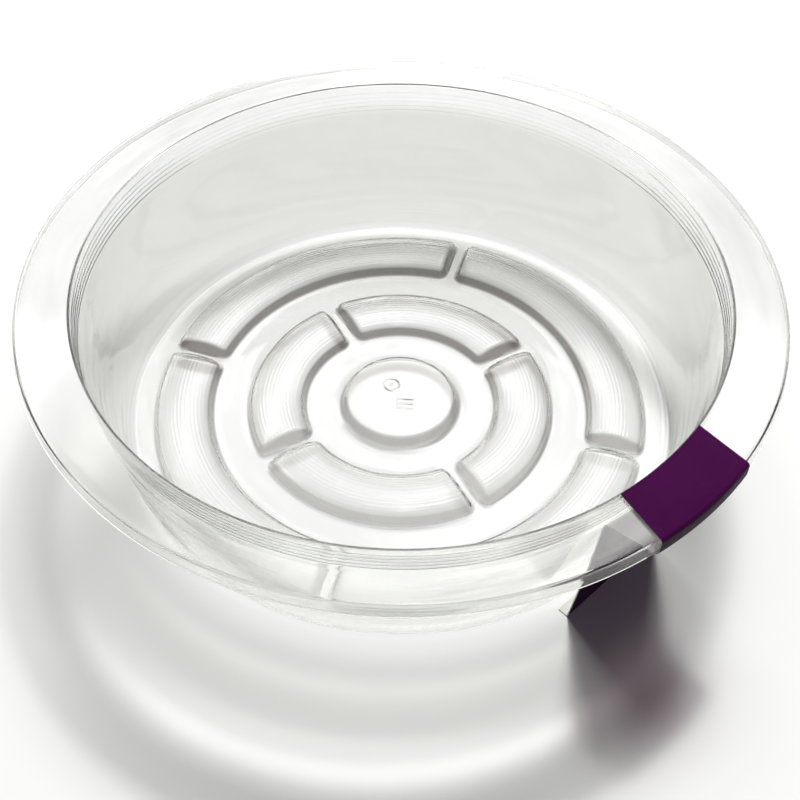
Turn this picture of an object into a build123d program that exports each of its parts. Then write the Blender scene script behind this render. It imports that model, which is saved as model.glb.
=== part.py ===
"""Clear thermoformed plant tray with a folded card label hooked over its rim.

Millimetres, +Z up. The origin is the centre of the tray's underside, on the surface it stands on.
+X is to the right and +Y away from someone who faces the tray.
"""
import os
from math import cos, hypot, radians, sin

from build123d import *

# ---- sheet and overall size of the tray
sheet = 0.8            # thickness of the formed plastic
rim_radius = 125.0     # outer edge of the rim's lip
tray_height = 62.0     # underside of the base to the inner edge of the rim
mouth_radius = 106.5   # inner edge of the rim, where the bowl opens
foot_radius = 96.0     # corner between base and side, before rounding
foot_rounding = 6.0    # inside radius of that corner

# ---- rim: a flat flange that falls slightly outwards and ends in a turned-down lip
rim_fall = 1.5
lip_height = 4.6
lip_flare = 0.8        # how far the lip leans out from top to bottom
rim_rounding = 0.6     # inside radius of the rim's two bends

# ---- collar: the stepped band inside the mouth that stiffens the rim
collar_band_height = 3.2   # smooth band above the first step
collar_steps = 5
step_pitch = 1.7
step_depth = 0.28

# ---- base: two rings of hollow raised ridges round a raised boss
inner_ring_radius = 44.0   # middle of the inner ring's ridges
outer_ring_radius = 77.0
ridge_width = 22.0         # at floor level
ridge_height = 5.0
ridge_draft = 32.0         # lean of a ridge's sides from upright, degrees
ridge_corner = 5.0         # rounding of a ridge's ends, seen from above
ridge_crown = 1.8          # inside radius between its sides and its top
ridges_per_ring = 4
web_width = 3.0            # floor left between the ends of two ridges
inner_web_azimuth = 30.0   # where the inner ring's first web is, from +X
ring_stagger = 45.0        # how far the outer ring's webs are turned from the inner ring's
boss_radius = 22.0
boss_height = 4.2
boss_draft = 32.0
boss_crown = 0.8

# ---- mould mark on the boss: a plain ring with a dot, and bars under it
mark_relief = 0.3
mark_ring_radius = 2.6
mark_line = 0.7
mark_bar_length = 6.0
mark_bars = 3
mark_bar_pitch = 1.9

# ---- label: one strip of card, folded round the rim and down to the surface
card = 0.4
label_clearance = 0.3      # between the card and the rim, so that it slides off
label_azimuth = -45.0      # middle of the label
label_right = 18.6         # the strip's straight edge, from the label's middle
label_left = 24.4          # its other edge, below the rim
fold_left = 21.3           # that edge where it goes round the lip
tab_left = 17.8            # and at the tab's free end, on top of the rim
tab_inset = 0.7            # free end of the tab, from the mouth's edge
lip_fold = 0.9             # inside radii of the strip's folds
hang_fold = 2.0
stand_fold = 0.5
hang_gap = 1.9             # from the collar to where the strip leaves the rim's underside
stand_gap = 3.2            # from the side's foot to where it reaches the surface
flap_length = 3.3          # turned in along the surface

os.makedirs("parts", exist_ok=True)

lip_top = tray_height - rim_fall
lip_bottom = lip_top - lip_height
flange_radius = rim_radius - lip_flare
collar_radius = mouth_radius - collar_steps * step_depth
collar_bottom = tray_height - collar_band_height - collar_steps * step_pitch


def unit(start, end):
    """Direction from one point to another, one long."""
    length = hypot(end[0] - start[0], end[1] - start[1])
    return (end[0] - start[0]) / length, (end[1] - start[1]) / length


def sheet_section(points, bends, thickness):
    """Draw the closed section of a bent sheet: one face along the points, the other on their right.

    bends holds each inner corner's inside radius, or 0 for a sharp corner.
    """
    runs = [unit(a, b) for a, b in zip(points, points[1:])]
    before, after = runs[:1] + runs, runs + runs[-1:]
    far_face = []
    for (x, y), (ax, ay), (bx, by) in zip(points, before, after):
        mitre = thickness / (1 + ax * bx + ay * by)
        far_face.append((x + (ay + by) * mitre, y - (ax + bx) * mitre))
    near_radii, far_radii = [0], [0]
    for bend, (ax, ay), (bx, by) in zip(bends, runs, runs[1:]):
        turns_left = ax * by - ay * bx > 0
        near_radii.append(bend if turns_left or bend == 0 else bend + thickness)
        far_radii.append(bend + thickness if turns_left and bend else bend)
    with BuildLine() as outline:
        FilletPolyline(*points, *reversed(far_face), close=True,
                       radius=near_radii + [0, 0] + far_radii[:0:-1] + [0])
    make_face(outline.edges())


def emboss(outline, height, draft, crown):
    """Raise a hollow form from the tray's base: its upper side added, then its underside cut."""
    inset = sheet * (1 - sin(radians(draft))) / cos(radians(draft))
    upper, under = (sheet, 0, crown + sheet, Mode.ADD), (0, inset, crown, Mode.SUBTRACT)
    for floor, margin, bend, mode in (upper, under):
        with BuildSketch(Plane.XY.offset(floor)) as form:
            outline(margin)
        extrude(form.sketch, amount=height, taper=draft, mode=mode)
        fillet(tray_shell.edges(Select.LAST).group_by(Axis.Z)[-1], bend)


def ridge_ring(ring_radius, web_azimuth):
    """Outline of one ring of ridges, as a function of the margin taken off all round."""
    def outline(margin):
        Circle(ring_radius + ridge_width / 2 - margin)
        Circle(ring_radius - ridge_width / 2 + margin, mode=Mode.SUBTRACT)
        with PolarLocations(ring_radius, ridges_per_ring, start_angle=web_azimuth):
            Rectangle(2 * ridge_width, web_width + 2 * margin, mode=Mode.SUBTRACT)
        fillet(vertices(), ridge_corner - margin)
    return outline


# ---- tray: bowl, rim and base in one formed sheet
with BuildPart() as tray_shell:
    steps = []
    for step in range(collar_steps):
        corner = collar_bottom + (step + 1) * step_pitch
        radius = collar_radius + step * step_depth
        steps += [(radius, corner - step_depth), (radius + step_depth, corner)]
    with BuildSketch(Plane.XZ):
        sheet_section(
            [(0, sheet), (foot_radius, sheet), (collar_radius, collar_bottom), *steps,
             (mouth_radius, tray_height), (flange_radius, lip_top), (rim_radius, lip_bottom)],
            [foot_rounding, 0, *[0 for _ in steps], rim_rounding, rim_rounding],
            sheet)
    revolve(axis=Axis.Z)
    emboss(ridge_ring(inner_ring_radius, inner_web_azimuth), ridge_height, ridge_draft, ridge_crown)
    emboss(ridge_ring(outer_ring_radius, inner_web_azimuth + ring_stagger),
           ridge_height, ridge_draft, ridge_crown)
    emboss(lambda margin: Circle(boss_radius - margin), boss_height, boss_draft, boss_crown)
    with BuildSketch(Plane.XY.offset(sheet + boss_height)):
        Circle(mark_ring_radius)
        Circle(mark_ring_radius - mark_line, mode=Mode.SUBTRACT)
        Circle(mark_line)
        for bar in range(mark_bars):
            with Locations((0, -mark_ring_radius - (bar + 1) * mark_bar_pitch)):
                Rectangle(mark_bar_length, mark_line)
    extrude(amount=mark_relief)
tray_shell.part.label = "tray_shell"

# ---- label: the strip's section round the rim, then its left edge slanted above and below the lip
across = Plane(origin=(0, 0, 0), x_dir=Vector(1, 0, 0).rotate(Axis.Z, label_azimuth),
               z_dir=Vector(0, -1, 0).rotate(Axis.Z, label_azimuth))
tab_radius = mouth_radius + tab_inset
hang_radius = mouth_radius + sheet + hang_gap
stand_radius = foot_radius + sheet + stand_gap
around_lip = rim_radius + label_clearance
under_lip = lip_bottom - sheet * lip_flare / lip_height - label_clearance
lip_middle = lip_top - lip_height / 2

with BuildPart() as rim_label:
    with BuildSketch(across.offset(-label_right)):
        sheet_section(
            [(stand_radius - flap_length, card), (stand_radius, card), (hang_radius, under_lip),
             (around_lip, under_lip), (around_lip, lip_top + label_clearance),
             (tab_radius, tray_height + label_clearance)],
            [stand_fold, hang_fold, lip_fold, lip_fold],
            card)
    extrude(amount=label_right + label_left)
    for start, edge, reach in ((tab_radius, tab_left, tray_height), (hang_radius, label_left, -tray_height)):
        with BuildSketch(Plane(origin=(0, 0, lip_middle), x_dir=across.x_dir, z_dir=(0, 0, 1))):
            with BuildLine():
                Polyline((start, -edge), (around_lip + card, -fold_left),
                         (around_lip + card, -2 * label_left), (start, -2 * label_left), close=True)
            make_face()
        extrude(amount=reach, mode=Mode.SUBTRACT)
rim_label.part.label = "rim_label"

for piece in (tray_shell, rim_label):
    export_step(piece.part, f"parts/{piece.part.label}.step")
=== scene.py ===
"""Looks of a clear formed plant tray and the folded card label on its rim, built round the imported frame.

Metres, +Z up, origin at the centre of the tray's underside. +X is to the right and +Y away from the viewer.
"""
import logging
from dataclasses import dataclass, field
from enum import Enum
from math import atan2, cos, pi, radians, sin, tan

import bpy
import numpy as np
from bpy.types import Material, Node, NodeSocket, NodeTree, Object
from mathutils import Matrix, Vector


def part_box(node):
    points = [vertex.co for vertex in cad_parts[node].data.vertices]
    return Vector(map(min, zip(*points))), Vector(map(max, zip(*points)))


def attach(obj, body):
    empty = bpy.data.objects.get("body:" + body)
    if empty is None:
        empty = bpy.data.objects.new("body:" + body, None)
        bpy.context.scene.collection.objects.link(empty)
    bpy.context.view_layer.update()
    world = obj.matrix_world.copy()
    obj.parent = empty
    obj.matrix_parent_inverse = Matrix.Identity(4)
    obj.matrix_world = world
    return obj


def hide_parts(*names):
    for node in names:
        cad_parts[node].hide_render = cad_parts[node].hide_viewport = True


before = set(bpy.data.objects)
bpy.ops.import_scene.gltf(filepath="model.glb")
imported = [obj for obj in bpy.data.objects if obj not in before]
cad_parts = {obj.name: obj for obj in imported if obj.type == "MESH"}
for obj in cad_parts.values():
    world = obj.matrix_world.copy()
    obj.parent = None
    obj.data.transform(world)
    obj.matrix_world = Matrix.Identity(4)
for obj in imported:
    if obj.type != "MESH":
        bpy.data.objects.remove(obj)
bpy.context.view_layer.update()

MM = 0.001
LOG = logging.getLogger("plant_tray")

SMOOTH_BELOW = radians(50)  # an edge that turns more than this stays sharp
WAVE_SCALE = 0.314159  # a Wave texture's scale where its rings are a metre apart
BASE_BELOW = 30.0 * MM  # the base's points lie lower than this, the rim's higher
TINY = 0.1 * MM  # keeps a division off zero

Point = tuple[float, float]
Span = tuple[float, float]
RGB = tuple[float, float, float]
Colour = RGB | NodeSocket


def mm(*lengths: float) -> tuple[float, ...]:
    """Lengths in millimetres as metres."""
    return tuple(length * MM for length in lengths)


class Piece(Enum):
    """The visible pieces, by their names."""

    TRAY = "clear_tray"
    LABEL = "card_label"


class Slot(Enum):
    """The record's material slots."""

    SHEET = "clear_plastic"
    CARD = "purple_card"


class Body(Enum):
    """The rigid bodies that pieces ride on."""

    TRAY = "tray"
    LABEL = "label"


# ---------------------------------------------------------------- node helpers


class Maths:
    """A number in a node tree, which plain arithmetic turns into Math nodes."""

    def __init__(self, tree: NodeTree, value: NodeSocket) -> None:
        """Wraps a socket of the given tree."""
        self.tree = tree
        self.value = value

    def join(self, operation: str, *others: "Maths | float") -> "Maths":
        """Adds one Math node.

        Args:
            operation: the Math node's operation.
            others: what goes into its other sockets.

        Returns:
            The node's result.
        """
        node = self.tree.nodes.new("ShaderNodeMath")
        node.operation = operation
        for socket, other in zip(node.inputs, (self, *others)):
            if isinstance(other, Maths):
                self.tree.links.new(other.value, socket)
            else:
                socket.default_value = other
        return Maths(self.tree, node.outputs[0])

    def __add__(self, other: "Maths | float") -> "Maths":
        """Sum."""
        return self.join("ADD", other)

    def __sub__(self, other: "Maths | float") -> "Maths":
        """Difference."""
        return self.join("SUBTRACT", other)

    def __mul__(self, other: "Maths | float") -> "Maths":
        """Product."""
        return self.join("MULTIPLY", other)

    def __truediv__(self, other: "Maths | float") -> "Maths":
        """Quotient."""
        return self.join("DIVIDE", other)

    def ramp(self, low: float, high: float, to_low: float = 0.0, to_high: float = 1.0) -> "Maths":
        """Maps the number from one span to another, and holds it inside.

        Args:
            low: where the number's span starts; it may be the larger end.
            high: where the number's span ends.
            to_low: the result at the start.
            to_high: the result at the end.

        Returns:
            The mapped number.
        """
        node = self.tree.nodes.new("ShaderNodeMapRange")
        self.tree.links.new(self.value, node.inputs[0])
        for socket, number in zip(node.inputs[1:5], (low, high, to_low, to_high)):
            socket.default_value = number
        return Maths(self.tree, node.outputs[0])

    def least(self, other: "Maths | float") -> "Maths":
        """The smaller of two."""
        return self.join("MINIMUM", other)

    def most(self, other: "Maths | float") -> "Maths":
        """The larger of two."""
        return self.join("MAXIMUM", other)

    def clamped(self) -> "Maths":
        """The number held between 0 and 1."""
        return self.most(0.0).least(1.0)

    def rest(self) -> "Maths":
        """What the number leaves of 1."""
        return self * -1.0 + 1.0

    def eased(self) -> "Maths":
        """A smooth step from 0 to 1 as the number goes from 0 to 1."""
        t = self.clamped()
        return t * t * (t * -2.0 + 3.0)

    def step(self, start: float, width: float) -> "Maths":
        """A smooth step from 0 to 1 that starts at a number; a negative width runs downwards."""
        return ((self - start) / width).eased()


class PlacedTree:
    """A node tree, the place that it is worked out at, and short calls for its nodes."""

    def __init__(self, tree: NodeTree, place: NodeSocket) -> None:
        """Takes the tree and splits its place into x, y and z.

        Args:
            tree: the node tree.
            place: the place, as a socket of one of its nodes.
        """
        self.tree = tree
        self.place = place
        split = self.node("ShaderNodeSeparateXYZ", Vector=place)
        self.x, self.y, self.z = (self.number(out) for out in split.outputs)

    def node(self, kind: str, **inputs: object) -> Node:
        """Adds a node and fills its inputs.

        Args:
            kind: the node's type.
            inputs: a value, a number of the tree or a socket for each input, by its name with _ for a space.

        Returns:
            The node.
        """
        made = self.tree.nodes.new(kind)
        for key, given in inputs.items():
            socket = made.inputs[key.replace("_", " ")]
            value = given.value if isinstance(given, Maths) else given
            if isinstance(value, NodeSocket):
                self.tree.links.new(value, socket)
            else:
                socket.default_value = value
        return made

    def number(self, socket: NodeSocket) -> Maths:
        """A node's output as a number."""
        return Maths(self.tree, socket)

    def radius(self) -> Maths:
        """Distance from the tray's axis."""
        return (self.x * self.x + self.y * self.y).join("SQRT")

    def noise(self, scale: float, detail: float = 2.0, roughness: float = 0.5,
              place: NodeSocket | None = None) -> Maths:
        """Adds a noise pattern.

        Args:
            scale: its cells in one unit of the place.
            detail: how many finer patterns are laid over it.
            roughness: how strong the finer ones are.
            place: where it is read, if not at the tree's own place.

        Returns:
            The pattern, from 0 to 1.
        """
        made = self.node("ShaderNodeTexNoise", Vector=place or self.place, Scale=scale, Detail=detail,
                         Roughness=roughness)
        return self.number(made.outputs["Fac"])

    def ray(self, name: str) -> Maths:
        """1 for light rays of the named kind, 0 for others."""
        return self.number(self.node("ShaderNodeLightPath").outputs[name])


class SurfaceTree(PlacedTree):
    """A Geometry Nodes tree that raises a mesh's points, with its sizes as named inputs."""

    def __init__(self, name: str, sizes: dict[str, float]) -> None:
        """Starts the tree.

        Args:
            name: the tree's name.
            sizes: each named input with its value.
        """
        tree = bpy.data.node_groups.new(name, "GeometryNodeTree")
        self.sizes = sizes
        self.sockets: dict[str, str] = {}
        tree.interface.new_socket("Geometry", in_out="INPUT", socket_type="NodeSocketGeometry")
        for size in sizes:
            made = tree.interface.new_socket(size, in_out="INPUT", socket_type="NodeSocketFloat")
            self.sockets[size] = made.identifier
        finish = tree.interface.new_socket("Finish", in_out="INPUT", socket_type="NodeSocketMaterial")
        self.finish_socket = finish.identifier
        tree.interface.new_socket("Geometry", in_out="OUTPUT", socket_type="NodeSocketGeometry")
        self.source = tree.nodes.new("NodeGroupInput").outputs
        super().__init__(tree, tree.nodes.new("GeometryNodeInputPosition").outputs[0])

    def size(self, name: str) -> Maths:
        """The named input as a number."""
        return self.number(self.source[name])

    def azimuth(self) -> Maths:
        """Angle round the axis from +X, in radians."""
        return self.y.join("ARCTAN2", self.x)

    def lift(self, height: Maths) -> None:
        """Ends the tree: raises every point by a height and gives the faces their finish.

        Args:
            height: how far each point goes up.
        """
        offset = self.node("ShaderNodeCombineXYZ", Z=height)
        faces, finish = self.source["Geometry"], self.source["Finish"]
        raised = self.node("GeometryNodeSetPosition", Geometry=faces, Offset=offset.outputs[0])
        real = self.node("GeometryNodeRealizeInstances", Geometry=raised.outputs[0])
        dressed = self.node("GeometryNodeSetMaterial", Geometry=real.outputs[0], Material=finish)
        self.node("NodeGroupOutput", Geometry=dressed.outputs[0])

    def put_on(self, piece: Object, finish: Material) -> None:
        """Adds the tree to a piece as a modifier, its sizes set by the sockets' identifiers.

        Args:
            piece: the piece that gets the modifier.
            finish: the material of its faces.
        """
        modifier = piece.modifiers.new(self.tree.name, "NODES")
        modifier.node_group = self.tree
        for size, identifier in self.sockets.items():
            modifier[identifier] = float(self.sizes[size])
        modifier[self.finish_socket] = finish


class ShaderTree(PlacedTree):
    """A material's node tree, read in the object's own coordinates."""

    def __init__(self, name: str) -> None:
        """Starts an empty material.

        Args:
            name: the material's name.
        """
        self.material = bpy.data.materials.new(name)
        self.material.use_nodes = True
        tree = self.material.node_tree
        tree.nodes.clear()
        super().__init__(tree, tree.nodes.new("ShaderNodeTexCoord").outputs["Object"])

    def mix_colour(self, factor: Maths, first: Colour, second: Colour) -> NodeSocket:
        """Blends two colours.

        Args:
            factor: the second colour's share, from 0 to 1.
            first: the colour at 0, as numbers or a socket.
            second: the colour at 1, as numbers or a socket.

        Returns:
            The blend.
        """
        made = self.tree.nodes.new("ShaderNodeMix")
        made.data_type = "RGBA"
        self.tree.links.new(factor.value, made.inputs["Factor"])
        for socket, colour in zip((made.inputs[6], made.inputs[7]), (first, second)):
            if isinstance(colour, NodeSocket):
                self.tree.links.new(colour, socket)
            else:
                socket.default_value = (*colour, 1.0)
        return made.outputs[2]

    def show(self, share: Maths, first: Node, second: Node) -> Material:
        """Sends a mix of two shaders to the surface.

        Args:
            share: the second shader's share, from 0 to 1.
            first: the shader that shows at 0.
            second: the shader that shows at 1.

        Returns:
            The finished material.
        """
        mix = self.tree.nodes.new("ShaderNodeMixShader")
        for socket, source in zip(mix.inputs, (share.value, first.outputs[0], second.outputs[0])):
            self.tree.links.new(source, socket)
        self.node("ShaderNodeOutputMaterial", Surface=mix.outputs[0])
        return self.material


# ---------------------------------------------------------------- finishes
# A side is a span of x or y, a reach is a span of radius and a height is a span of z, over which something
# comes in; the first number is where it starts.


@dataclass(frozen=True)
class SheetTint:
    """Colour of the clear sheet: clear on the flats; painted shade on the base's steep slopes (darker at the
    back), on the wall (partly the sheet's own haze) and along the lip's cut edge.
    """

    flat: RGB = (0.915, 0.918, 0.91)
    # painted shade on the base's steep slopes: darker at the back, lighter at the front
    back_slope_shade: RGB = (0.33, 0.315, 0.305)
    front_slope_shade: RGB = (0.66, 0.655, 0.645)
    slope_shade_side: Span = mm(20.0, -35.0)
    upright: Span = (0.985, 0.56)
    glancing: Span = (0.40, 0.75)
    glancing_share: float = 0.15
    # the wall's grey: partly the sheet's haze, partly painted shade; painted lighter low on the sides and
    # front, darker low at the back
    wall_haze_and_shade: RGB = (0.735, 0.74, 0.715)
    low_wall_haze_and_shade: RGB = (0.90, 0.905, 0.885)
    back_wall_haze_and_shade: RGB = (0.80, 0.805, 0.785)
    back_side: Span = mm(40.0, 85.0)
    low_height: Span = mm(22.0, 4.0)
    # painted light: the front wall and rim are lighter where they are seen through
    painted_light_front_wall: RGB = (0.95, 0.955, 0.935)
    front_side: Span = mm(-45.0, -85.0)
    front_rim_share: float = 0.6
    wall_foot: Span = mm(1.5, 2.8)
    wall_top: Span = mm(49.0, 55.0)
    # painted shade: a darker line along the lip's cut edge
    edge: RGB = (0.52, 0.52, 0.51)
    edge_height: Span = mm(56.1, 56.8)
    edge_reach: Span = mm(118.0, 119.0)
    mottle: float = 0.16
    mottle_scale: float = 0.8
    mottle_span: Span = (0.42, 0.66)
    least_mottle: float = 0.25
    mottle_facing: Span = (0.18, 0.42)

    def colour(self, tree: ShaderTree, base: Maths, facing: Maths, streaked: NodeSocket) -> NodeSocket:
        """Builds the tint.

        Args:
            tree: the material's tree.
            base: 1 on the tray's base, 0 beyond it.
            facing: 0 where the sheet is seen square on, 1 at its outline.
            streaked: a place that unrolls the tray.

        Returns:
            The colour.
        """
        back = tree.y
        # painted shade: the base's steep slopes darken, more at the back than at the front
        painted_slope_shade = tree.mix_colour(back.ramp(*self.slope_shade_side), self.back_slope_shade, self.front_slope_shade)
        normal = tree.node("ShaderNodeNewGeometry").outputs["Normal"]
        lean = tree.number(tree.node("ShaderNodeSeparateXYZ", Vector=normal).outputs[2])
        steep = lean.join("ABSOLUTE").ramp(*self.upright)
        met = facing.ramp(*self.glancing, 1.0, self.glancing_share)
        sloped = tree.mix_colour(steep * base * met, self.flat, painted_slope_shade)
        rising = tree.z.ramp(*self.wall_foot)
        falling = tree.z.ramp(*self.wall_top, 1.0, 0.0)
        # painted shade on the wall, partly the sheet's haze; low down it is lighter at the sides and front
        # and darker at the back
        low = tree.mix_colour(back.ramp(*self.back_side), self.low_wall_haze_and_shade, self.back_wall_haze_and_shade)
        wall_haze_and_shade = tree.mix_colour(tree.z.ramp(*self.low_height), self.wall_haze_and_shade, low)
        walled = tree.mix_colour(rising * falling * base.rest(), sloped, wall_haze_and_shade)
        cloud = tree.noise(self.mottle_scale, detail=2.5, place=streaked)
        cloud = cloud.ramp(*self.mottle_span, self.least_mottle, 1.0)
        cloud = cloud * facing.ramp(*self.mottle_facing, self.least_mottle * self.mottle, self.mottle)
        cloudy = tree.mix_colour(cloud * falling.rest(), walled, (0.0, 0.0, 0.0))
        # painted shade: a darker line along the lip's cut edge
        outer = tree.radius().ramp(*self.edge_reach)
        lowest = tree.z.ramp(*self.edge_height, 1.0, 0.0)
        return tree.mix_colour(outer * lowest, cloudy, self.edge)

    def seen_colour(self, tree: ShaderTree, tint: NodeSocket, base: Maths) -> NodeSocket:
        """Paints the front wall and rim lighter by place, for light that is seen through the sheet: painted
        light.

        Args:
            tree: the material's tree.
            tint: the sheet's colour.
            base: 1 on the tray's base, 0 beyond it.

        Returns:
            The lighter colour.
        """
        # painted light: the front wall and rim lighter, for what is seen through the sheet but not for lamp
        # light
        front = tree.y.ramp(*self.front_side) * base.rest()
        front = front * tree.radius().ramp(*ClearSheet.flange_reach, 1.0, self.front_rim_share)
        return tree.mix_colour(front, tint, self.painted_light_front_wall)


@dataclass(frozen=True)
class LampShare:
    """How much lamp light goes on through the sheet, which gives its shadow the bright and dark bands.

    A loss or a gain is a share of that light, and gamma is how strongly the sheet's tint tells in it.
    """

    gamma: float = 0.28
    straight: float = 0.975
    slant_loss: float = 0.85
    slant_azimuth: float = -75.0
    slant_side: Span = mm(-15.0, 15.0)
    rim_loss: Span = (0.38, 0.13)
    rim_side: Span = mm(-102.0, -62.0)
    right_loss: Span = (0.33, -0.10)
    right_reach: Span = mm(113.0, 122.0)
    right_side: Span = mm(60.0, 100.0)
    mouth_loss: float = 0.26
    mouth_reach: Span = mm(107.4, 115.0)
    mouth_side: Span = mm(10.0, 40.0)
    collar_gain: float = 0.72
    collar_height: Span = mm(46.0, 52.0)
    front_side: Span = mm(-90.0, -45.0)
    band_gain: float = 0.12
    band_start: Span = mm(18.0, 20.5)
    band_end: Span = mm(23.5, 26.0)
    wall_loss: float = 0.06
    wall_height: Span = mm(6.0, 13.0)
    foot_gain: float = 0.12
    foot_height: Span = mm(26.0, 14.0)
    foot_side: Span = mm(10.0, 60.0)
    base_gain: float = 0.13
    base_reach: Span = mm(85.5, 88.5)
    base_side: Span = mm(62.0, 78.0)
    base_height: Span = mm(8.0, 4.0)

    def losses(self, tree: ShaderTree, within: Maths, facing: Maths) -> Maths:
        """Works out what slanted walls, the rim and its mouth leave, because they turn light away.

        Args:
            tree: the material's tree.
            within: 1 within the flat rim, 0 on it.
            facing: 0 where a ray meets the sheet square on, 1 where it grazes it.

        Returns:
            The share left.
        """
        away = radians(self.slant_azimuth)
        toward = tree.x * cos(away) + tree.y * sin(away)
        shaded = toward.ramp(*self.slant_side, 0.0, self.slant_loss)
        kept = facing * facing * facing * shaded * within * -1.0 + self.straight
        loss = tree.y.ramp(*self.rim_side, *self.rim_loss)
        near = tree.radius().ramp(*self.mouth_reach, self.mouth_loss, 0.0)
        loss = loss + near * tree.y.ramp(*self.mouth_side, 1.0, 0.0)
        right = tree.x.ramp(*self.right_side)
        loss = loss * right.rest() + right * tree.radius().ramp(*self.right_reach, *self.right_loss)
        return kept * ((within - 1.0) * loss + 1.0)

    def gains(self, tree: ShaderTree, within: Maths, base: Maths) -> Maths:
        """Works out what collar, wall, foot and base add, because they gather light.

        Args:
            tree: the material's tree.
            within: 1 within the flat rim, 0 on it.
            base: 1 on the tray's base, 0 beyond it.

        Returns:
            The factor that they make, 1 where they add nothing.
        """
        collar = tree.z.ramp(*self.collar_height, 0.0, self.collar_gain)
        front = tree.y.ramp(*self.front_side, 1.0, 0.0)
        foot = tree.z.ramp(*self.foot_height, 0.0, self.foot_gain)
        rear = tree.y.ramp(*self.foot_side)
        band = tree.z.ramp(*self.band_start) - tree.z.ramp(*self.band_end)
        band = band * self.band_gain - tree.z.ramp(*self.wall_height, 0.0, self.wall_loss)
        ring = tree.radius().ramp(*self.base_reach, 0.0, self.base_gain)
        ring = ring * tree.x.ramp(*self.base_side)
        ring = ring * tree.z.ramp(*self.base_height)
        return (collar + band) * front * within + foot * rear * base.rest() + ring + 1.0

    def shader(self, tree: ShaderTree, tint: NodeSocket, base: Maths, facing: Maths) -> Node:
        """Builds the see-through shader that lamp rays meet.

        Args:
            tree: the material's tree.
            tint: the sheet's colour.
            base: 1 on the tray's base, 0 beyond it.
            facing: 0 where a ray meets the sheet square on, 1 where it grazes it.

        Returns:
            The shader's node.
        """
        within = tree.radius().ramp(*ClearSheet.flange_reach, 1.0, 0.0)
        gamma = tree.node("ShaderNodeGamma", Color=tint, Gamma=self.gamma)
        share = self.losses(tree, within, facing) * self.gains(tree, within, base)
        dimmed = tree.node("ShaderNodeVectorMath", Vector=gamma.outputs[0])
        dimmed.operation = "SCALE"
        tree.tree.links.new(share.value, dimmed.inputs["Scale"])
        return tree.node("ShaderNodeBsdfTransparent", Color=dimmed.outputs[0])


@dataclass(frozen=True)
class ClearSheet:
    """Clear formed plastic: glossy, a little uneven, with fine rings on its ridges."""

    tint: SheetTint = SheetTint()
    lamp_share: LampShare = LampShare()
    base_reach: Span = mm(91.0, 92.5)
    flange_reach: Span = mm(106.4, 107.4)
    ior: float = 1.52
    roughness: Span = (0.015, 0.06)
    haze_scale: float = 114.0
    haze_span: Span = (0.3, 0.75)
    streaks: Span = (2.6, 120.0)
    ripple: float = 0.5
    ripple_depth: float = 0.4 * MM
    calm_reach: Span = mm(14.0, 34.0)
    tool_mark_pitch: float = 1.3 * MM
    tool_mark: float = 0.9
    tool_mark_depth: float = 0.05 * MM
    ridge_top: Span = mm(3.8, 5.0)
    ridge_reach: Span = mm(24.0, 27.0)

    def unrolled(self, tree: ShaderTree) -> NodeSocket:
        """Unrolls the tray, so that a pattern makes streaks up the wall.

        Args:
            tree: the material's tree.

        Returns:
            The unrolled place.
        """
        radius = tree.radius()
        out = radius + TINY
        around, along = self.streaks
        place = tree.node("ShaderNodeCombineXYZ", X=tree.x / out * around, Y=tree.y / out * around,
                          Z=(radius - tree.z) * along)
        return place.outputs[0]

    def surface(self, tree: ShaderTree, ridge: Maths, streaked: NodeSocket) -> NodeSocket:
        """Adds the bumps: long shallow streaks beyond the boss, and fine rings that the turned mould left.

        Args:
            tree: the material's tree.
            ridge: 1 on the ridges' tops, 0 beyond them.
            streaked: a place that unrolls the tray.

        Returns:
            The surface's direction.
        """
        wave = tree.noise(1.0, detail=1.5, roughness=0.45, place=streaked)
        wave = wave * tree.radius().ramp(*self.calm_reach)
        ripple = tree.node("ShaderNodeBump", Height=wave, Strength=self.ripple, Distance=self.ripple_depth)
        rings = tree.node("ShaderNodeTexWave", Vector=tree.place, Scale=WAVE_SCALE / self.tool_mark_pitch,
                          Distortion=1.2, Detail=2.0, Detail_Scale=0.4)
        rings.wave_type = "RINGS"
        rings.rings_direction = "Z"
        cut = ridge * tree.number(rings.outputs["Fac"])
        marks = tree.node("ShaderNodeBump", Height=cut, Strength=self.tool_mark,
                          Distance=self.tool_mark_depth, Normal=ripple.outputs[0])
        return marks.outputs[0]

    def material(self) -> Material:
        """Builds the glossy sheet; lamps reach what is behind it, dimmed by how steeply it stands.

        Returns:
            The finished material.
        """
        tree = ShaderTree("clear_sheet")
        facing = tree.number(tree.node("ShaderNodeLayerWeight", Blend=0.5).outputs["Facing"])
        streaked = self.unrolled(tree)
        base = tree.radius().ramp(*self.base_reach, 1.0, 0.0)
        tint = self.tint.colour(tree, base, facing, streaked)
        haze = tree.noise(self.haze_scale, detail=3.0)
        ridge = base * tree.z.ramp(*self.ridge_top)
        ridge = ridge * tree.radius().ramp(*self.ridge_reach)
        gloss = tree.node(
            "ShaderNodeBsdfPrincipled",
            Base_Color=self.tint.seen_colour(tree, tint, base),
            Roughness=haze.ramp(*self.haze_span, *self.roughness),
            Transmission_Weight=1.0,
            IOR=self.ior,
            Normal=self.surface(tree, ridge, streaked),
        )
        lamp_way = self.lamp_share.shader(tree, tint, base, facing)
        return tree.show(tree.ray("Is Shadow Ray").most(tree.ray("Is Diffuse Ray")), gloss, lamp_way)


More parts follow.
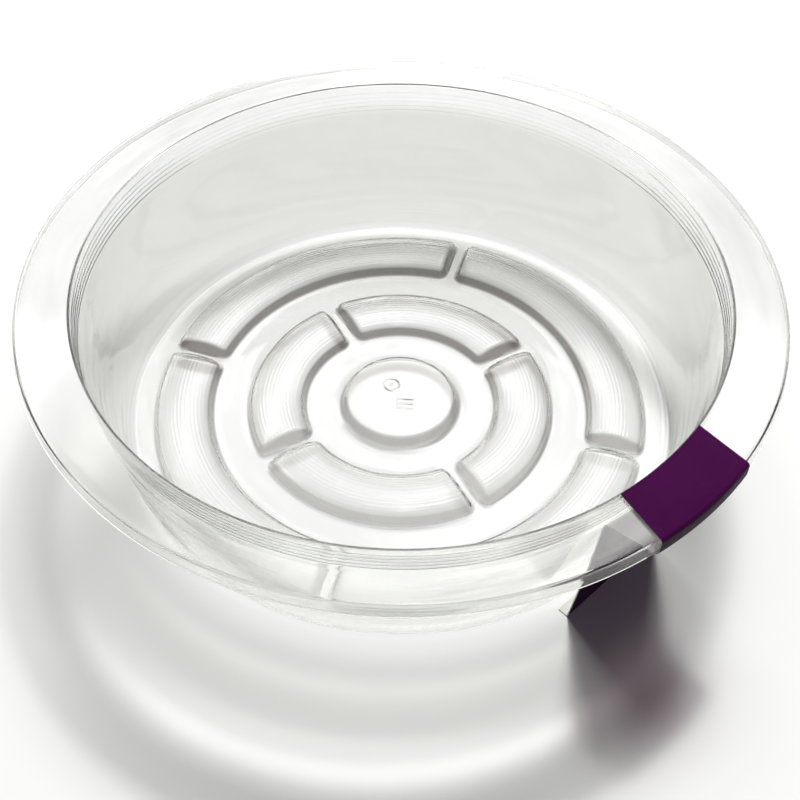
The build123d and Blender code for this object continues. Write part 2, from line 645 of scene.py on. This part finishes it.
@dataclass(frozen=True)
class PrintedCard:
    """Card printed a deep purple: fine fibres under a satin coat, with painted shade that darkens the ink
    below the tab's top.
    """

    ink: RGB = (0.040, 0.0014, 0.039)
    thin_ink: RGB = (0.052, 0.003, 0.050)
    cloud_scale: float = 60.0
    cloud_span: Span = (0.35, 0.8)
    cloud_share: float = 0.7
    roughness: Span = (0.5, 0.62)
    fibre_scale: float = 900.0
    fibre_span: Span = (0.3, 0.7)
    fibre_bump: float = 0.12
    fibre_depth: float = 0.05 * MM
    top_let_through: RGB = (0.97, 0.90, 0.93)
    let_through: RGB = (0.15, 0.11, 0.13)
    low_let_through: RGB = (0.014, 0.0, 0.016)
    top_span: Span = mm(58.0, 60.0)
    let_span: Span = mm(55.0, 25.0)
    # painted shade: the ink is darker below the tab's top, on the lip fold and the hanging panel
    painted_shade_ink: RGB = (0.019, 0.003, 0.021)
    painted_shade_span: Span = mm(60.6, 59.6)

    def material(self) -> Material:
        """Builds the printed side.

        Returns:
            The finished material.
        """
        tree = ShaderTree("printed_card")
        fibres = tree.noise(self.fibre_scale, detail=4.0, roughness=0.6)
        cloud = tree.noise(self.cloud_scale, detail=3.0)
        colour = tree.mix_colour(cloud.ramp(*self.cloud_span, 0.0, self.cloud_share), self.ink, self.thin_ink)
        # painted shade: darker ink below the tab's top
        colour = tree.mix_colour(tree.z.ramp(*self.painted_shade_span), colour, self.painted_shade_ink)
        bump = tree.node("ShaderNodeBump", Height=fibres, Strength=self.fibre_bump, Distance=self.fibre_depth)
        coat = tree.node(
            "ShaderNodeBsdfPrincipled",
            Base_Color=colour,
            Roughness=fibres.ramp(*self.fibre_span, *self.roughness),
            Specular_IOR_Level=0.08,
            Normal=bump.outputs[0],
        )
        let = tree.mix_colour(tree.z.ramp(*self.let_span), self.let_through, self.low_let_through)
        let = tree.mix_colour(tree.z.ramp(*self.top_span), let, self.top_let_through)
        return tree.show(tree.ray("Is Shadow Ray"), coat, tree.node("ShaderNodeBsdfTransparent", Color=let))


@dataclass(frozen=True)
class BareCard:
    """Unprinted white card: the strip's inner side and its cut edges, painted darker from 40 mm up as shade
    under the rim.
    """

    light: RGB = (0.80, 0.79, 0.77)
    dark: RGB = (0.66, 0.65, 0.62)
    # painted shade: the bare card is darker from 40 mm up, under the rim
    painted_shade_under_rim: RGB = (0.40, 0.39, 0.38)
    painted_shade_under_span: Span = mm(40.0, 50.0)
    fibre_scale: float = 700.0
    fibre_span: Span = (0.3, 0.7)
    fibre_bump: float = 0.2
    fibre_depth: float = 0.05 * MM

    def material(self) -> Material:
        """Builds the bare side.

        Returns:
            The finished material.
        """
        tree = ShaderTree("bare_card")
        fibres = tree.noise(self.fibre_scale, detail=5.0, roughness=0.65)
        bump = tree.node("ShaderNodeBump", Height=fibres, Strength=self.fibre_bump, Distance=self.fibre_depth)
        colour = tree.mix_colour(fibres.ramp(*self.fibre_span), self.dark, self.light)
        # painted shade: darker from 40 mm up, under the rim
        colour = tree.mix_colour(tree.z.ramp(*self.painted_shade_under_span), colour, self.painted_shade_under_rim)
        pulp = tree.node(
            "ShaderNodeBsdfPrincipled",
            Base_Color=colour,
            Roughness=0.85,
            Specular_IOR_Level=0.2,
            Normal=bump.outputs[0],
        )
        clear = tree.node("ShaderNodeBsdfTransparent", Color=(1.0, 1.0, 1.0, 1.0))
        return tree.show(tree.ray("Is Shadow Ray"), pulp, clear)


# ---------------------------------------------------------------- shapes


def rounded_corner(before: Point, corner: Point, after: Point, radius: float, steps: int) -> list[Point]:
    """Points of the arc that rounds a corner.

    Args:
        before: a point on the run that comes in.
        corner: the sharp corner.
        after: a point on the run that goes out.
        radius: the arc's radius.
        steps: how many spans the arc is cut into.

    Returns:
        The arc's points, both ends included.
    """
    incoming = Vector(corner) - Vector(before)
    outgoing = Vector(after) - Vector(corner)
    incoming.normalize()
    outgoing.normalize()
    turn = incoming.angle_signed(outgoing) * -1.0
    reach = radius * tan(abs(turn) / 2)
    start = Vector(corner) - incoming * reach
    side = 1.0 if turn > 0 else -1.0
    centre = start + Vector((-incoming.y, incoming.x)) * radius * side
    first = atan2(start.y - centre.y, start.x - centre.x)
    return [(centre.x + radius * cos(first + turn * i / steps),
             centre.y + radius * sin(first + turn * i / steps)) for i in range(steps + 1)]


def straight(start: Point, end: Point, spans: int) -> list[Point]:
    """Points of a straight run that is cut into even spans: the start is left out, the end is not."""
    (x0, z0), (x1, z1) = start, end
    return [(x0 + (x1 - x0) * i / spans, z0 + (z1 - z0) * i / spans) for i in range(1, spans + 1)]


def spaced(start: float, end: float, step: float) -> list[float]:
    """Even stations from start up to, not including, end, about a step apart."""
    count = max(1, round((end - start) / step))
    return [start + (end - start) * i / count for i in range(count)]


def placed(name: str, data: bpy.types.ID) -> Object:
    """Puts a new object in the scene.

    Args:
        name: the object's name.
        data: its mesh, lamp or camera.

    Returns:
        The object.
    """
    made = bpy.data.objects.new(name, data)
    bpy.context.scene.collection.objects.link(made)
    return made


def smooth(piece: Object) -> None:
    """Shades a piece smooth, and keeps its real edges sharp."""
    piece.data.shade_smooth()
    piece.data.set_sharp_from_angle(angle=SMOOTH_BELOW)


def settle(piece: Object) -> None:
    """Turns a piece with its modifiers into a plain mesh of its own.

    Args:
        piece: the piece, which keeps its name and has no modifiers afterwards.
    """
    evaluated = piece.evaluated_get(bpy.context.evaluated_depsgraph_get())
    plain = bpy.data.meshes.new_from_object(evaluated)
    plain.name = piece.name
    piece.modifiers.clear()
    piece.data = plain


# ---------------------------------------------------------------- tray


@dataclass
class RidgeRing:
    """One ring of raised ridges with narrow webs of floor between their ends.

    Out to web_reach degrees on both sides of a web, the grid's radial lines are web_fine degrees apart.
    """

    name: str
    radius: float
    web_azimuth: float
    width: float = 22.0 * MM
    height: float = 5.2 * MM
    foot: float = 2.2 * MM
    flank: float = 4.2 * MM
    corner: float = 3.6 * MM
    end: float = 4.0 * MM
    web_width: float = 2.2 * MM
    count: int = 4
    web_reach: float = 10.5
    web_fine: float = 0.95

    def tree(self) -> SurfaceTree:
        """Builds the tree that raises the ring's ridges out of the floor.

        Returns:
            The finished tree.
        """
        relief = SurfaceTree(self.name, {
            "Ring Radius": self.radius, "Half Width": self.width / 2, "Height": self.height,
            "Foot": self.foot, "Corner": self.corner, "End": self.end,
            "Half Web": self.web_width / 2,
            "Web Azimuth": radians(self.web_azimuth), "Pitch": 2 * pi / self.count,
        })
        radius = relief.radius()
        beside = relief.size("Half Width") - (radius - relief.size("Ring Radius")).join("ABSOLUTE")
        pitch = relief.size("Pitch")
        turned = (relief.azimuth() - relief.size("Web Azimuth")) / pitch
        from_web = (turned - turned.join("ROUND")) * pitch
        beyond_web = radius * from_web.join("SINE").join("ABSOLUTE") - relief.size("Half Web")
        corner = relief.size("Corner")
        across, along = (corner - beside).most(0.0), (corner - beyond_web).most(0.0)
        nearest = beside.least(beyond_web)
        inside = corner - (across * across + along * along).join("SQRT") + (nearest - corner).most(0.0)
        share = (beside / relief.size("Half Width")).clamped()
        short = (beyond_web / relief.size("End")).clamped()
        dome = (share * (share * -1.0 + 2.0) * short * (short * -1.0 + 2.0)).join("SQRT")
        side = (inside / relief.size("Foot")).eased()
        on_base = relief.z.join("LESS_THAN", BASE_BELOW)
        relief.lift(dome * side * relief.size("Height") * on_base)
        return relief


@dataclass
class MouldMark:
    """A plain mark raised on the boss: a ring with a dot, and short bars beside it.

    A line's slope starts spread half widths from its middle and is softness half widths wide.
    """

    ring_at: Point = mm(-3.1, 5.0)
    ring_radius: float = 2.7 * MM
    line: float = 0.75 * MM
    relief: float = 0.2 * MM
    bars_at: Point = mm(1.6, -4.2)
    bar_length: float = 6.0 * MM
    bar_pitch: float = 2.3 * MM
    spread: float = 1.35
    softness: float = 0.9
    top_slack: float = 0.2 * MM
    reach: float = 13.5 * MM

    def tree(self, top: float) -> SurfaceTree:
        """Builds the tree that raises the mark on the boss.

        Args:
            top: height of the boss's top.

        Returns:
            The finished tree.
        """
        relief = SurfaceTree("mould_mark", {
            "Ring Radius": self.ring_radius, "Line": self.line, "Relief": self.relief,
            "Bar Length": self.bar_length, "Bar Pitch": self.bar_pitch, "Top": top,
        })
        half_line = relief.size("Line") * 0.5
        x, y = relief.x - self.ring_at[0], relief.y - self.ring_at[1]
        from_ring = (x * x + y * y).join("SQRT")
        ring = (from_ring - relief.size("Ring Radius")).join("ABSOLUTE")
        dot = from_ring - half_line
        u, v = relief.x - self.bars_at[0], relief.y - self.bars_at[1]
        row = (v / relief.size("Bar Pitch")).join("ROUND").most(-1.0).least(1.0)
        off_bar = (v - row * relief.size("Bar Pitch")).join("ABSOLUTE")
        past_end = u.join("ABSOLUTE") - relief.size("Bar Length") * 0.5 + half_line
        bar = off_bar.most(past_end)
        distance = ring.least(dot).least(bar)
        height = ((half_line * self.spread - distance) / (half_line * self.softness)).eased()
        height = height * relief.size("Relief")
        on_top = relief.z.join("GREATER_THAN", relief.size("Top") - self.top_slack)
        on_boss = relief.radius().join("LESS_THAN", self.reach)
        relief.lift(height * on_top * on_boss)
        return relief


@dataclass
class ClearTray:
    """The tray: bowl, stepped collar, flat rim with its lip, and ridged base, all in one formed sheet.

    The values from fine_step to boss_step are how far apart the rings of points in its grid lie, and away
    from the webs its radial lines are wide_angle degrees apart.
    """

    rim_radius: float
    height: float = 62.0 * MM
    sheet: float = 0.8 * MM
    mouth_radius: float = 106.5 * MM
    foot_radius: float = 96.0 * MM
    foot_rounding: float = 3.5 * MM
    rim_fall: float = 1.5 * MM
    lip_height: float = 4.6 * MM
    lip_flare: float = 0.8 * MM
    rim_rounding: float = 1.2 * MM
    mouth_rounding: float = 0.6 * MM
    collar_band: float = 3.7 * MM
    collar_steps: int = 5
    step_pitch: float = 1.8 * MM
    step_depth: float = 0.17 * MM
    boss_radius: float = 22.0 * MM
    boss_height: float = 4.2 * MM
    boss_flank: float = 3.4 * MM
    bend_radius: float = 14.0 * MM
    wide_angle: float = 1.6
    least_gap: float = 0.1
    fine_step: float = 0.62 * MM
    foot_step: float = 0.372 * MM
    wide_step: float = 2.8 * MM
    mark_step: float = 0.48 * MM
    boss_step: float = 1.6 * MM
    boss_margin: float = 0.4 * MM
    hub_radius: float = 0.6 * MM
    mark_reach: float = 10.5 * MM
    step_ease: float = 0.45
    rings: list[RidgeRing] = field(default_factory=lambda: [
        RidgeRing("inner_ridges", 44.0 * MM, 30.5),
        RidgeRing("outer_ridges", 77.0 * MM, 74.0, web_reach=6.2, web_fine=0.52),
    ])
    mark: MouldMark = field(default_factory=MouldMark)

    def boss_rise(self, radius: float) -> float:
        """Height of the boss above the floor at a radius."""
        share = min(1.0, max(0.0, (self.boss_radius - radius) / self.boss_flank))
        return self.boss_height * share * share * (3 - 2 * share)

    def base_stations(self) -> list[float]:
        """Works out the radii of the base's rings of points: closer on every slope, wider on the flats.

        Returns:
            The radii from the middle outwards.
        """
        fine, wide, foot = self.fine_step, self.wide_step, self.foot_step
        boss_top = self.boss_radius - self.boss_flank - self.boss_margin
        radii = spaced(self.hub_radius, self.mark_reach, self.mark_step)
        radii += spaced(self.mark_reach, boss_top, self.boss_step)
        radii += spaced(boss_top, self.boss_radius, fine)
        last = self.boss_radius
        for ring in self.rings:
            inner, outer = ring.radius - ring.width / 2, ring.radius + ring.width / 2
            rise = [inner, inner + ring.foot, inner + ring.flank]
            fall = [outer - ring.flank, outer - ring.foot, outer]
            stops = [last, *rise, *fall]
            for start, end, step in zip(stops, stops[1:], (wide, foot, fine, wide, fine, foot)):
                radii += spaced(start, end, step)
            last = outer
        return radii + [last]

    def side_stations(self) -> list[Point]:
        """Works out the upper face's outline from the foot up over the rim to the lip's edge.

        Returns:
            The radius and height of each of its points.
        """
        collar_top = self.height - self.collar_band
        collar_foot = collar_top - self.collar_steps * self.step_pitch
        collar_radius = self.mouth_radius - self.collar_steps * self.step_depth
        floor, foot = (self.boss_radius, self.sheet), (self.foot_radius, self.sheet)
        collar = (collar_radius, collar_foot)
        line = rounded_corner(floor, foot, collar, self.foot_rounding, 8)
        bend = rounded_corner(foot, collar, (collar_radius, collar_top), self.bend_radius, 4)
        line += straight(line[-1], bend[0], 5)[:-1] + bend
        ease = self.step_depth * self.step_ease
        for step in range(self.collar_steps):
            top = collar_foot + (step + 1) * self.step_pitch
            radius = collar_radius + step * self.step_depth
            wide, low = radius + self.step_depth, top - self.step_depth
            line += [(radius, low - ease), (radius + ease * 0.5, low + ease * 0.5),
                     (wide - ease * 0.5, top - ease * 0.5), (wide, top + ease)]
        mouth = (self.mouth_radius, self.height)
        shoulder = (self.rim_radius - self.lip_flare, self.height - self.rim_fall)
        edge = (self.rim_radius, shoulder[1] - self.lip_height)
        line += rounded_corner(line[-1], mouth, shoulder, self.mouth_rounding, 5)
        turn = rounded_corner(mouth, shoulder, edge, self.rim_rounding, 6)
        line += straight(line[-1], turn[0], 6)[:-1] + turn
        return line + straight(line[-1], edge, 3)

    def azimuths(self) -> list[float]:
        """Works out the angles of the tray's radial lines of points: close together beside every web.

        Returns:
            The angles once round, in radians.
        """
        angles: list[float] = []
        stops = sorted((ring.web_azimuth + 360.0 / ring.count * i, ring.web_reach, ring.web_fine)
                       for ring in self.rings for i in range(ring.count))
        first = stops[0][0] - stops[0][1]
        last = first
        for azimuth, reach, fine in stops:
            if azimuth - reach - last > self.least_gap:
                angles += spaced(last, azimuth - reach, self.wide_angle)
            angles += spaced(azimuth - reach, azimuth + reach, fine)
            last = azimuth + reach
        angles += spaced(last, first + 360.0, self.wide_angle)
        return [radians(angle) for angle in angles]

    def upper_face(self) -> Object:
        """Builds the tray's upper face as a round grid of points, before its ridges are raised.

        Returns:
            The face as a piece of its own.
        """
        stations = [(radius, self.sheet + self.boss_rise(radius)) for radius in self.base_stations()]
        stations += self.side_stations()
        angles = np.array(self.azimuths())
        radii = np.array([station[0] for station in stations])
        heights = np.array([station[1] for station in stations])
        x, y = np.outer(radii, np.cos(angles)), np.outer(radii, np.sin(angles))
        z = np.repeat(heights[:, None], len(angles), axis=1)
        points = np.stack([x, y, z], axis=-1).reshape(-1, 3)
        centre = np.array([[0.0, 0.0, self.sheet + self.boss_height]])
        around, rows = len(angles), len(stations)
        following = (np.arange(around) + 1) % around
        faces = []
        for row in range(rows - 1):
            low, high = row * around, (row + 1) * around
            faces += [(low + i, high + i, high + j, low + j) for i, j in enumerate(following)]
        hub = rows * around
        faces += [(hub, i, j) for i, j in enumerate(following)]
        mesh = bpy.data.meshes.new(Piece.TRAY.value)
        mesh.from_pydata(np.vstack([points, centre]).tolist(), [], [tuple(int(v) for v in f) for f in faces])
        mesh.update()
        return placed(Piece.TRAY.value, mesh)

    def build(self, finish: Material) -> Object:
        """Builds the tray as one closed sheet.

        Args:
            finish: the clear plastic.

        Returns:
            The finished piece, at the origin and with no modifiers left.
        """
        piece = self.upper_face()
        piece.data.materials.append(finish)
        for ring in self.rings:
            ring.tree().put_on(piece, finish)
        self.mark.tree(self.sheet + self.boss_height).put_on(piece, finish)
        thick = piece.modifiers.new("sheet_thickness", "SOLIDIFY")
        thick.thickness = self.sheet
        thick.offset = -1.0
        thick.use_even_offset = True
        settle(piece)
        places = np.empty(len(piece.data.vertices) * 3)
        piece.data.vertices.foreach_get("co", places)
        places[2::3] = np.maximum(places[2::3], 0.0)
        piece.data.vertices.foreach_set("co", places)
        smooth(piece)
        return piece


# ---------------------------------------------------------------- label


@dataclass
class CardLabel:
    """The label: a strip of card round the rim's lip, back under the rim and down to the surface."""

    tray: ClearTray
    azimuth: float = -45.0
    card: float = 0.4 * MM
    clearance: float = 0.3 * MM
    right: float = 18.6 * MM
    left: float = 24.4 * MM
    fold_left: float = 21.3 * MM
    tab_left: float = 17.8 * MM
    tab_inset: float = 0.7 * MM
    hang_gap: float = 1.9 * MM
    stand_gap: float = 3.2 * MM
    flap: float = 3.3 * MM
    lip_fold: float = 0.9 * MM
    hang_fold: float = 2.0 * MM
    stand_fold: float = 0.5 * MM
    bow_growth: float = 1.5
    columns: int = 24

    def path(self) -> tuple[list[Point], list[float]]:
        """Works out the strip's inner face from the tab's free end to the flap's.

        Returns:
            The radius and height of each point, and how far the strip's left edge is from its middle there.
        """
        tray = self.tray
        lip_top = tray.height - tray.rim_fall
        under = lip_top - tray.lip_height - tray.sheet * tray.lip_flare / tray.lip_height - self.clearance
        around = tray.rim_radius + self.clearance
        tab = (tray.mouth_radius + self.tab_inset, tray.height + self.clearance)
        over = (around, lip_top + self.clearance)
        below = (around, under)
        hang = (tray.mouth_radius + tray.sheet + self.hang_gap, under)
        stand = (tray.foot_radius + tray.sheet + self.stand_gap, self.card)
        flap = (stand[0] - self.flap, self.card)
        arcs = [
            (rounded_corner(tab, over, below, self.lip_fold, 6), 8),
            (rounded_corner(over, below, hang, self.lip_fold, 6), 2),
            (rounded_corner(below, hang, stand, self.hang_fold + self.card, 6), 8),
            (rounded_corner(hang, stand, flap, self.stand_fold, 5), 24),
        ]
        line = [tab]
        for arc, spans in arcs:
            line += straight(line[-1], arc[0], spans)[:-1] + arc
        line += straight(line[-1], flap, 4)
        travelled = np.concatenate([[0.0], np.cumsum(np.hypot(*np.diff(np.array(line), axis=0).T))])
        stops = [0.0, around - tab[0], around - tab[0] + lip_top - under + around - hang[0]]
        lefts = np.interp(travelled, stops, [self.tab_left, self.fold_left, self.left])
        return line, lefts.tolist()

    def points(self, line: list[Point], lefts: list[float]) -> list[tuple[float, ...]]:
        """Works out the points of the strip's inner layer, then those of its outer layer.

        Args:
            line: radius and height of each row of points on the inner face.
            lefts: how far each row's left end is from the strip's middle.

        Returns:
            The points, row by row and from left to right.
        """
        track = np.array(line)
        along = np.gradient(track, axis=0)
        along /= np.linalg.norm(along, axis=1)[:, None]
        outward = np.stack([-along[:, 1], along[:, 0]], axis=1)
        radial = np.array([cos(radians(self.azimuth)), sin(radians(self.azimuth)), 0.0])
        across = np.array([-radial[1], radial[0], 0.0])
        up = np.array([0.0, 0.0, 1.0])
        shares = np.linspace(0.0, 1.0, self.columns + 1)
        lowest, highest = track[:, 1].min(), self.tray.height - self.tray.rim_fall - self.tray.lip_height
        points = []
        for lift in (0.0, self.card):
            for (r, z), (nr, nz), left in zip(track, outward, lefts):
                reach = r + nr * lift
                bow = min(1.0, (z - lowest) / (highest - lowest)) ** self.bow_growth
                for share in shares:
                    along_rim = -left + (left + self.right) * share
                    drawn_in = (reach - (reach * reach - along_rim * along_rim) ** 0.5) * bow
                    points.append(radial * (reach - drawn_in) + across * along_rim + up * (z + nz * lift))
        return [tuple(point) for point in points]

    def faces(self, rows: int) -> tuple[list[tuple[int, ...]], list[int]]:
        """Works out the faces of both layers and of the cut edge between them.

        Args:
            rows: how many rows of points a layer has.

        Returns:
            The faces by their points, and each one's finish: 0 for printed, 1 for bare.
        """
        width = self.columns + 1
        layer = rows * width
        faces, finishes = [], []
        for row in range(rows - 1):
            for column in range(self.columns):
                a, b = row * width + column, row * width + column + 1
                c, d = b + width, a + width
                faces += [(a, b, c, d), (a + layer, d + layer, c + layer, b + layer)]
                finishes += [1, 0]
        ring = list(range(width))
        ring += [row * width + self.columns for row in range(1, rows)]
        ring += [(rows - 1) * width + column for column in range(self.columns - 1, -1, -1)]
        ring += [row * width for row in range(rows - 2, 0, -1)]
        for here, there in zip(ring, ring[1:] + ring[:1]):
            faces.append((here, here + layer, there + layer, there))
            finishes.append(1)
        return faces, finishes

    def build(self, printed: Material, bare: Material) -> Object:
        """Builds the strip, printed outside and bare inside and at its cut edges.

        Args:
            printed: the finish of its outer side.
            bare: the finish of its inner side and edges.

        Returns:
            The finished piece, at the origin.
        """
        line, lefts = self.path()
        faces, finishes = self.faces(len(line))
        mesh = bpy.data.meshes.new(Piece.LABEL.value)
        mesh.from_pydata(self.points(line, lefts), [], faces)
        mesh.materials.append(printed)
        mesh.materials.append(bare)
        mesh.polygons.foreach_set("material_index", finishes)
        mesh.update()
        piece = placed(Piece.LABEL.value, mesh)
        smooth(piece)
        return piece


# ---------------------------------------------------------------- studio


@dataclass(frozen=True)
class Lamp:
    """One soft rectangular lamp: where it stands in degrees and metres, its size in metres and its watts."""

    name: str
    azimuth: float
    elevation: float
    away: float
    size: Point
    power: float


@dataclass(frozen=True)
class Room:
    """What surrounds the tray: a dim room on the viewer's side, a pale one behind and above.

    Each span is where a smooth step starts in a direction's y, z or sideways share, and how wide it is.
    """

    behind: Span = (-0.3, 0.45)
    cloud_scale: float = 5.0
    cloud_detail: float = 3.0
    cloud: Span = (0.38, 0.22)
    low_start: Span = (0.05, 0.12)
    low_end: Span = (0.52, -0.16)
    low_side: Span = (0.55, -0.7)
    low_cloud: float = 1.8
    high_start: Span = (0.53, 0.23)
    high_cloud: Point = (0.25, 0.75)
    high_glow: float = 2.3
    right_side: Span = (0.1, 0.3)
    right_start: Span = (0.78, 0.08)
    right_glow: float = 1.4
    gap_start: Span = (0.76, 0.06)
    gap_side: Span = (-0.25, -0.15)
    gap_depth: float = 0.85
    window_end: Span = (0.74, -0.25)
    wall_glow: Point = (0.7, 0.45)
    dim_glow: float = 0.10
    scatter: Point = (0.018, 0.009)
    pale: RGB = (1.0, 1.0, 0.985)
    backdrop: float = 1.0

    def window(self, uneven: Maths, z: Maths, aside: Maths) -> Maths:
        """Works out the windows: a low one to the left, a high one with a dark gap in it.

        Args:
            uneven: a soft cloudy pattern, from 0 to 1.
            z: the direction's upward share.
            aside: its sideways share, -1 to the left and 1 to the right.

        Returns:
            How bright they are in that direction.
        """
        low = z.step(*self.low_start) * z.step(*self.low_end) * aside.step(*self.low_side)
        share, rest = self.high_cloud
        high = z.step(*self.high_start) * (uneven * share + rest) * self.high_glow
        right = aside.step(*self.right_side) * z.step(*self.right_start) * self.right_glow
        gap = z.step(*self.gap_start) * aside.step(*self.gap_side) * -self.gap_depth + 1.0
        return low * (uneven * self.low_cloud + 1.0) + (high + right) * gap * aside.step(*self.window_end)

    def light_up(self) -> None:
        """Builds the world: mirrored rays see windows, scattered ones a faint glow, others the backdrop."""
        world = bpy.data.worlds.new("studio")
        world.use_nodes = True
        nodes = world.node_tree.nodes
        nodes.clear()
        tree = PlacedTree(world.node_tree, nodes.new("ShaderNodeTexCoord").outputs["Generated"])
        aside = tree.x / (tree.x * tree.x + tree.y * tree.y + TINY).join("SQRT")
        uneven = tree.noise(self.cloud_scale, self.cloud_detail).step(*self.cloud)
        mirrored, scattered = tree.ray("Is Glossy Ray"), tree.ray("Is Diffuse Ray")
        share, rest = self.wall_glow
        seen = uneven * share + rest + self.window(uneven, tree.z, aside)
        seen = tree.y.step(*self.behind) * seen + self.dim_glow
        rise, level = self.scatter
        strength = (mirrored + scattered).rest() * self.backdrop + mirrored * seen
        strength = strength + scattered * (tree.z * rise + level)
        shine = tree.node("ShaderNodeBackground", Color=(*self.pale, 1.0), Strength=strength)
        tree.node("ShaderNodeOutputWorld", Surface=shine.outputs[0])
        bpy.context.scene.world = world


@dataclass
class Studio:
    """Pale floor, soft light from behind and the camera."""

    elevation: float = 48.40
    distance: float = 0.39645
    aim: RGB = (-0.00004, -0.05278, 0.06183)
    roll: float = 0.854
    lens: float = 59.83
    room: Room = Room()
    floor_colours: tuple[RGB, RGB] = ((0.83, 0.83, 0.82), (0.86, 0.86, 0.85))
    floor_cloud: float = 9.0
    floor_side: float = 30.0
    floor_drop: float = 0.15 * MM
    floor_fade: Span = (0.7, 1.3)
    lamps: tuple[Lamp, ...] = (
        Lamp("window", 79.0, 56.0, 5.0, (1.3, 1.6), 208.0),
        Lamp("window_pane", 79.0, 56.0, 4.9, (0.42, 0.42), 90.0),
        Lamp("side_window", 110.0, 54.0, 5.0, (1.2, 1.9), 48.0),
    )

    def floor(self) -> None:
        """Lays the pale floor, which goes over into the pale surroundings far from the tray."""
        tree = ShaderTree("pale_floor")
        matt = tree.node(
            "ShaderNodeBsdfPrincipled",
            Base_Color=tree.mix_colour(tree.noise(self.floor_cloud, detail=3.0), *self.floor_colours),
            Roughness=0.9,
            Specular_IOR_Level=0.1,
        )
        haze = tree.node("ShaderNodeEmission", Color=(*self.room.pale, 1.0), Strength=self.room.backdrop)
        seen = tree.ray("Is Camera Ray").most(tree.ray("Is Transmission Ray"))
        finish = tree.show(tree.radius().step(*self.floor_fade) * seen, matt, haze)
        side, drop = self.floor_side, -self.floor_drop
        mesh = bpy.data.meshes.new("floor")
        corners = [(side * x, side * y, drop) for x, y in ((-1, -1), (1, -1), (1, 1), (-1, 1))]
        mesh.from_pydata(corners, [], [(0, 1, 2, 3)])
        mesh.materials.append(finish)
        ground = placed("floor", mesh)

    def camera(self) -> None:
        """Sets up the camera."""
        data = bpy.data.cameras.new("camera")
        data.lens = self.lens
        data.sensor_width = 36.0
        camera = placed("camera", data)
        lean = radians(self.elevation)
        eye = Vector(self.aim) + Vector((0.0, -cos(lean), sin(lean))) * self.distance
        camera.matrix_world = (Matrix.Translation(eye) @ Matrix.Rotation(pi / 2 - lean, 4, "X")
                               @ Matrix.Rotation(radians(self.roll), 4, "Z"))
        bpy.context.scene.camera = camera

    def hang(self, lamp: Lamp) -> None:
        """Hangs a lamp so that it faces the tray, hidden from mirrored and refracted rays.

        Args:
            lamp: what is hung, and where.
        """
        data = bpy.data.lights.new(lamp.name, "AREA")
        data.shape = "RECTANGLE"
        data.size, data.size_y = lamp.size
        data.energy = lamp.power
        hung = placed(lamp.name, data)
        hung.visible_glossy = False
        hung.visible_transmission = False
        a, e = radians(lamp.azimuth), radians(lamp.elevation)
        place = Vector((cos(a) * cos(e), sin(a) * cos(e), sin(e))) * lamp.away
        hung.matrix_world = Matrix.Translation(place) @ place.to_track_quat("Z", "Y").to_matrix().to_4x4()

    def light_up(self) -> None:
        """Adds the floor, the camera, the lamps and the render settings that clear plastic needs."""
        self.floor()
        self.camera()
        self.room.light_up()
        for lamp in self.lamps:
            self.hang(lamp)
        scene = bpy.context.scene
        scene.view_settings.view_transform = "Standard"
        scene.cycles.max_bounces = 20
        scene.cycles.transmission_bounces = 16
        scene.cycles.glossy_bounces = 8
        scene.cycles.diffuse_bounces = 3
        scene.cycles.transparent_max_bounces = 16
        scene.cycles.use_denoising = True


def main() -> None:
    """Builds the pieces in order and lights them."""
    logging.basicConfig(level=logging.INFO, format="%(name)s: %(message)s")
    low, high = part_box("tray_shell")
    tray = ClearTray(rim_radius=(high[0] - low[0]) / 2)
    shell = tray.build(ClearSheet().material())
    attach(shell, Body.TRAY.value)
    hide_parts("tray_shell")
    LOG.info("%s: %d faces", shell.name, len(shell.data.polygons))
    label = CardLabel(tray).build(PrintedCard().material(), BareCard().material())
    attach(label, Body.LABEL.value)
    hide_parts("rim_label")
    LOG.info("%s: %d faces", label.name, len(label.data.polygons))
    Studio().light_up()


if __name__ == "__main__":
    main()
